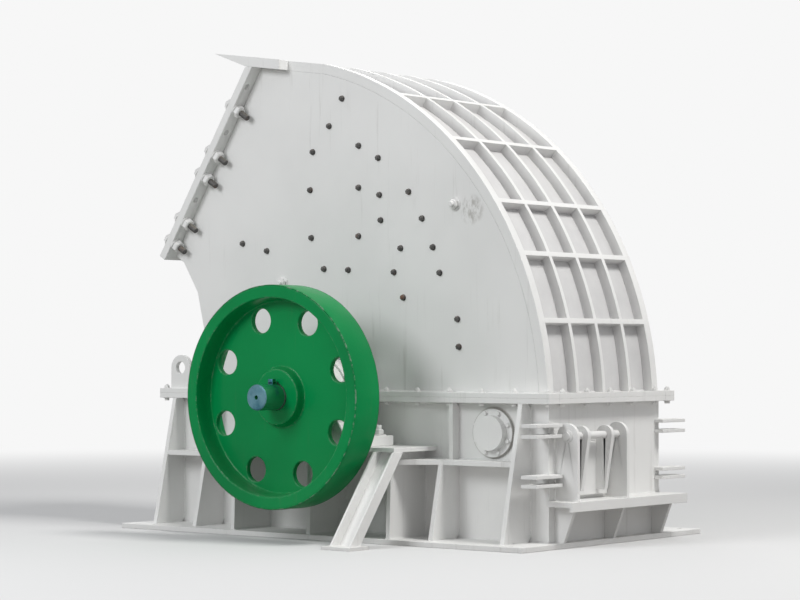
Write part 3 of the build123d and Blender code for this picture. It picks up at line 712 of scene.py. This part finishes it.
def end_seams():
    """Lines of weld across the ends of the housing and round the rear shelf and door cheeks."""
    cheek_low, cheek_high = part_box("door_cheeks")
    shelf_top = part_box("rear_shelf")[1].z
    rear = wall_high.x
    inner = outer_y - SEAM_END
    lines = []
    for x in (FEED_FOOT, SHELL_FOOT):
        lines.append(((x, -inner, flange_high.z), (x, inner, flange_high.z)))
    for z in (shelf_top, shelf_top - REAR_SHELF_THICK):
        lines.append(((rear, -outer_y, z), (rear, outer_y, z)))
    near, far = cheek_low.y, cheek_high.y
    for y in (near, near + CHEEK_THICK, far - CHEEK_THICK, far):
        lines += [
            ((rear, y, shelf_top), (cheek_high.x, y, shelf_top)),
            ((rear, y, shelf_top), (rear, y, cheek_high.z - CHEEK_TOP_ROUND)),
        ]
    return lines


class CRUSHER_OT_welds(bpy.types.Operator):
    """Weld beads where the plates of the housing meet"""

    bl_idname = "crusher.welds"
    bl_label = "Weld beads"

    def execute(self, context):
        radius = context.scene.crusher_edges.weld
        mesh = bmesh.new()
        for start, end in side_seams(-1) + side_seams(1) + end_seams():
            add_weld(mesh, start, end, radius)
        finish_piece("weld_beads", mesh, "housing", WHITE, WELD_ANGLE)
        return {"FINISHED"}


class CRUSHER_OT_split_bolts(bpy.types.Operator):
    """Bolts through the split flanges, nuts on top and heads under them"""

    bl_idname = "crusher.split_bolts"
    bl_label = "Split flange bolts"

    def execute(self, context):
        sizes = context.scene.crusher_fasteners
        size = sizes.split_bolt
        pitch = sizes.split_pitch
        inset = 0.032
        bearing_room = 0.36
        eye_low, eye_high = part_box("eye_plates")
        places = []
        for sign in (-1, 1):
            y = sign * (flange_high.y - inset)
            front = even(flange_low.x + inset, -bearing_room, pitch)
            rear = even(bearing_room, flange_high.x - inset, pitch)
            for x in front + rear:
                if not eye_low.x - inset < x < eye_high.x + inset:
                    places.append((x, y))
        span = outer_y - 0.09
        for x in (flange_low.x + 1.6 * inset, flange_high.x - 0.9 * inset):
            places += [(x, y) for y in even(-span, span, pitch)]
        mesh = bmesh.new()
        for x, y in places:
            add_nut(mesh, facing((x, y, flange_high.z), (0, 0, 1), x + y), size, 0.4)
            add_head(mesh, facing((x, y, under_flange), (0, 0, -1), x - y), size)
        finish_piece("split_flange_bolts", mesh, "housing", WHITE)
        return {"FINISHED"}


class CRUSHER_OT_inlet_bolts(bpy.types.Operator):
    """Bolts in the holes of the inlet flange; three holes on the flywheel side are empty"""

    bl_idname = "crusher.inlet_bolts"
    bl_label = "Inlet flange bolts"

    def execute(self, context):
        sizes = context.scene.crusher_fasteners
        size = sizes.inlet_bolt
        nut_size = size * 1.18
        nut_washer = 0.94
        nut_high = size * 1.05
        uneven = 0.25
        up = Vector((cos(INLET_SLOPE), 0, sin(INLET_SLOPE)))
        inward = Vector((sin(INLET_SLOPE), 0, -cos(INLET_SLOPE)))
        row = INLET_LENGTH - 2 * INLET_HOLE_END
        y = outer_y + INLET_HOLE_OUT
        nuts = bmesh.new()
        studs = bmesh.new()
        for sign in (-1, 1):
            for i in range(INLET_HOLES):
                if sign < 0 and i in EMPTY_HOLES:
                    continue
                along = up * (INLET_HOLE_END + row * i / (INLET_HOLES - 1))
                outer = Vector(INLET_FOOT) + along + Vector((0, sign * y, 0))
                inner = outer + inward * INLET_THICK
                add_nut(nuts, facing(inner, inward, i), nut_size, 0.0, nut_washer)
                add_head(nuts, facing(outer, -inward, i), size)
                end = nut_high + sizes.inlet_stud * (1 + uneven * sin(i * 2.3))
                stack(studs, facing(inner, inward), stud_end(size, nut_high, end))
        finish_piece("inlet_flange_bolts", nuts, "housing", WHITE)
        finish_piece("inlet_flange_studs", studs, "housing", ROTOR)
        return {"FINISHED"}


class CRUSHER_OT_liner_bolts(bpy.types.Operator):
    """Bolts of the wear plates, in both side plates: most are bare, two are larger and painted"""

    bl_idname = "crusher.liner_bolts"
    bl_label = "Liner bolts"

    def execute(self, context):
        size = context.scene.crusher_fasteners.liner_bolt
        painted_size = size * 1.8
        bare = bmesh.new()
        painted = bmesh.new()
        for sign in (-1, 1):
            for x, z in LINER_BOLTS:
                place = facing((x, sign * outer_y, z), (0, sign, 0), x * 9)
                add_nut(bare, place, size, 0.25, 1.05)
            for x, z in PAINTED_BOLTS:
                place = facing((x, sign * outer_y, z), (0, sign, 0), x * 9)
                add_nut(painted, place, painted_size, 0.5)
        finish_piece("liner_bolts", bare, "housing", ROTOR)
        finish_piece("painted_liner_bolts", painted, "housing", WHITE)
        return {"FINISHED"}


class CRUSHER_OT_bearing_bolts(bpy.types.Operator):
    """Cap, foot and cover bolts of the bearings, and a grease nipple on each cap"""

    bl_idname = "crusher.bearing_bolts"
    bl_label = "Bearing bolts"

    def execute(self, context):
        sizes = context.scene.crusher_fasteners
        size = sizes.bearing_bolt
        cap_low, cap_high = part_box("bearing_caps")
        base_low, base_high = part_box("bearing_bases")
        ring_low, ring_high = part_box("bearing_inserts")
        ear_inset, ear_half = 0.038, 0.066
        foot_inset, foot_half = 0.07, 0.06
        nipple_x, nipple_in = 0.03, 0.05
        nipple = [(0.011, -0.01), (0.011, 0.014), (0.006, 0.016), (0.006, 0.034), (0.004, 0.040)]
        ear_top = shaft_z + EAR_HEIGHT
        foot_top = base_low.z + FOOT_THICK
        cap_top = shaft_z + CAP_R
        ring_r = (ring_high.x - ring_low.x) / 2 - 0.024
        middle = cap_high.y - BEARING_HALF
        mesh = bmesh.new()
        for sign in (-1, 1):
            for x in (cap_low.x + ear_inset, cap_high.x - ear_inset):
                for y in (middle - ear_half, middle + ear_half):
                    add_nut(mesh, facing((x, sign * y, ear_top), (0, 0, 1), 0.3), size, 0.9)
            for x in (base_low.x + foot_inset, base_high.x - foot_inset):
                for y in (middle - foot_half, middle + foot_half):
                    add_nut(mesh, facing((x, sign * y, foot_top), (0, 0, 1), 0.7), size, 0.7)
            for x, z, a in on_ring(0, shaft_z, ring_r, 8):
                place = facing((x, sign * ring_high.y, z), (0, sign, 0), a)
                add_head(mesh, place, sizes.small_bolt)
            place = facing((nipple_x, sign * (middle - nipple_in), cap_top), (0, 0, 1))
            stack(mesh, place, nipple, 10)
        finish_piece("bearing_bolts", mesh, "housing", BEARING)
        return {"FINISHED"}


class CRUSHER_OT_cover_bolts(bpy.types.Operator):
    """Bolts in the round covers and in the shaft seals"""

    bl_idname = "crusher.cover_bolts"
    bl_label = "Cover and seal bolts"

    def execute(self, context):
        sizes = context.scene.crusher_fasteners
        size = sizes.small_bolt
        low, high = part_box("round_covers")
        seal_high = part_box("shaft_seals")[1]
        cover_x, cover_z = (low.x + high.x) / 2, (low.z + high.z) / 2
        cover_r = (high.x - low.x) / 2 - 0.020
        seal_r = seal_high.x - 0.025
        cover_face = outer_y + COVER_FLANGE
        covers = bmesh.new()
        for sign in (-1, 1):
            for x, z, a in on_ring(cover_x, cover_z, cover_r, sizes.cover_bolts):
                add_head(covers, facing((x, sign * cover_face, z), (0, sign, 0), a), size)
            for x, z, a in on_ring(0, shaft_z, seal_r, 8):
                add_head(covers, facing((x, sign * seal_high.y, z), (0, sign, 0), a), size)
        finish_piece("cover_bolts", covers, "housing", WHITE)
        return {"FINISHED"}


class CRUSHER_OT_hub_keys(bpy.types.Operator):
    """Taper keys with raised heads, in the hubs of the two wheels"""

    bl_idname = "crusher.hub_keys"
    bl_label = "Hub keys"

    def execute(self, context):
        wide = 0.018
        half_high = 0.012
        head_high = 0.030
        inner, head, outer = -0.02, 0.022, 0.050
        hub_face = shaft_high.y - SHAFT_OVERHANG - HUB_BEHIND
        seat = shaft_z + KEY_SEAT
        mesh = bmesh.new()
        for sign in (-1, 1):
            near, far = sorted((sign * (hub_face + inner), sign * (hub_face + outer)))
            low, high = (-wide, near, seat - half_high), (wide, far, seat + half_high)
            add_block(mesh, low, high, 0.002)
            near, far = sorted((sign * (hub_face + head), sign * (hub_face + outer)))
            add_block(mesh, (-wide, near, seat), (wide, far, seat + head_high), 0.003)
        finish_piece("hub_keys", mesh, "rotor", SHAFT)
        return {"FINISHED"}


class CRUSHER_OT_hinge_fittings(bpy.types.Operator):
    """Washers and split pins on the ends of the door's hinge pin"""

    bl_idname = "crusher.hinge_fittings"
    bl_label = "Hinge fittings"

    def execute(self, context):
        low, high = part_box("door_hinge_pin")
        cheek_low, cheek_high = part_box("door_cheeks")
        x, z = (low.x + high.x) / 2, (low.z + high.z) / 2
        radius = (high.x - low.x) / 2
        washer = [(radius * 1.7, 0), (radius * 1.7, 0.004), (radius * 1.6, 0.005)]
        split_pin = [(0.003, 0), (0.003, radius * 3.0)]
        pin_out = 0.0085
        mesh = bmesh.new()
        for cheek, sign in ((cheek_low.y, -1), (cheek_high.y, 1)):
            stack(mesh, facing((x, cheek, z), (0, sign, 0)), washer, 24)
            foot = (x, cheek + sign * pin_out, z - radius * 1.5)
            stack(mesh, facing(foot, (0, 0, 1)), split_pin, 8)
        finish_piece("hinge_fittings", mesh, "housing", WHITE)
        return {"FINISHED"}


def area_light(name, at, aim, size, power, colour):
    """Round soft lamp at a place, turned to what it lights."""
    data = bpy.data.lights.new(name, "AREA")
    data.shape = "DISK"
    data.size = size
    data.energy = power
    data.color = colour
    lamp = bpy.data.objects.new(name, data)
    bpy.context.scene.collection.objects.link(lamp)
    lamp.location = at
    lamp.rotation_euler = (Vector(aim) - Vector(at)).to_track_quat("-Z", "Y").to_euler()


def shown(finish):
    """1 for what the camera, a reflection or a clear body sees, and 0 for what lights the scene."""
    rays = ("Is Camera Ray", "Is Glossy Ray", "Is Transmission Ray")
    path = finish.node("LightPath")
    seen = [Wire(finish, path.socket.node.outputs[name]) for name in rays]
    return seen[0].most(seen[1]).most(seen[2])


PALE = (0.93, 0.93, 0.93)


def make_floor(scene):
    """Plain floor that fades into the pale surroundings."""
    floor = Finish("studio_floor")
    away = floor.node("VectorMath", {"operation": "LENGTH"}, {0: floor.place}, out=1)
    far = away.step(5.0, 13.0)
    tone = floor.mix((0.36, 0.35, 0.34), (0.66, 0.66, 0.66), shown(floor))
    near = floor.node("BsdfDiffuse", None, {"Color": tone})
    glow = floor.node("Emission", None, {"Color": PALE})
    both = floor.node("MixShader", None, {0: far * shown(floor), 1: near, 2: glow})
    floor.node("OutputMaterial", None, {"Surface": both})
    mesh = bmesh.new()
    bmesh.ops.create_circle(mesh, cap_ends=True, segments=96, radius=60.0)
    data = bpy.data.meshes.new("studio_floor")
    mesh.to_mesh(data)
    mesh.free()
    data.materials.append(floor.material)
    ground = bpy.data.objects.new("studio_floor", data)
    scene.collection.objects.link(ground)


def make_surroundings(scene, strength):
    """Even light from all round, behind a pale background."""
    world = bpy.data.worlds.new("studio_world")
    scene.world = world
    air = Finish("studio_world", world)
    plain = air.node("Background", None, {"Color": (0.93, 0.94, 0.96), "Strength": strength})
    pale = air.node("Background", None, {"Color": PALE, "Strength": 1.0})
    both = air.node("MixShader", None, {0: shown(air), 1: plain, 2: pale})
    air.node("OutputWorld", None, {"Surface": both})


class CRUSHER_OT_stage(bpy.types.Operator):
    """Floor, soft lights, pale surroundings and the camera"""

    bl_idname = "crusher.stage"
    bl_label = "Studio"

    def execute(self, context):
        scene = context.scene
        settings = scene.crusher_stage
        scene.view_settings.view_transform = "Standard"
        make_floor(scene)
        make_surroundings(scene, settings.air)
        middle = (0, 0, 1.2)
        area_light(
            "sun", (6.8, 0.0, 10.2), (0.2, 0, 1.2), 3.0, settings.sun, (1.0, 0.99, 0.97)
        )
        area_light("fill", (-2.0, -9.5, 6.0), middle, 4.5, settings.fill, (0.97, 0.985, 1.0))
        area_light("back", (-6.0, 7.0, 6.0), middle, 4.0, settings.back, (1.0, 1.0, 1.0))

        data = bpy.data.cameras.new("photo_view")
        data.angle = settings.view
        camera = bpy.data.objects.new("photo_view", data)
        scene.collection.objects.link(camera)
        camera.location = settings.eye
        way = Vector(settings.aim) - Vector(settings.eye)
        camera.rotation_euler = way.to_track_quat("-Z", "Y").to_euler()
        scene.camera = camera
        return {"FINISHED"}


PIECES = (
    CRUSHER_OT_paint,
    CRUSHER_OT_edges,
    CRUSHER_OT_welds,
    CRUSHER_OT_split_bolts,
    CRUSHER_OT_inlet_bolts,
    CRUSHER_OT_liner_bolts,
    CRUSHER_OT_bearing_bolts,
    CRUSHER_OT_cover_bolts,
    CRUSHER_OT_hub_keys,
    CRUSHER_OT_hinge_fittings,
    CRUSHER_OT_stage,
)
SETTINGS = {
    "crusher_finish": CrusherFinish,
    "crusher_edges": CrusherEdges,
    "crusher_fasteners": CrusherFasteners,
    "crusher_stage": CrusherStage,
}


class CRUSHER_PT_panel(bpy.types.Panel):
    """Lists the settings and the steps of the finish"""

    bl_idname = "CRUSHER_PT_panel"
    bl_label = "Hammer crusher"
    bl_space_type = "VIEW_3D"
    bl_region_type = "UI"
    bl_category = "Crusher"

    def draw(self, context):
        for name, group in SETTINGS.items():
            box = self.layout.box()
            for key in group.__annotations__:
                box.prop(getattr(context.scene, name), key)
        for piece in PIECES:
            self.layout.operator(piece.bl_idname)


def register():
    for one in (*SETTINGS.values(), *PIECES, CRUSHER_PT_panel):
        bpy.utils.register_class(one)
    for name, group in SETTINGS.items():
        setattr(bpy.types.Scene, name, PointerProperty(type=group))


def unregister():
    for name in SETTINGS:
        delattr(bpy.types.Scene, name)
    for one in reversed((*SETTINGS.values(), *PIECES, CRUSHER_PT_panel)):
        bpy.utils.unregister_class(one)


def main():
    """Runs every step in order."""
    register()
    for piece in PIECES:
        group, name = piece.bl_idname.split(".")
        getattr(getattr(bpy.ops, group), name)()


if __name__ == "__main__":
    main()
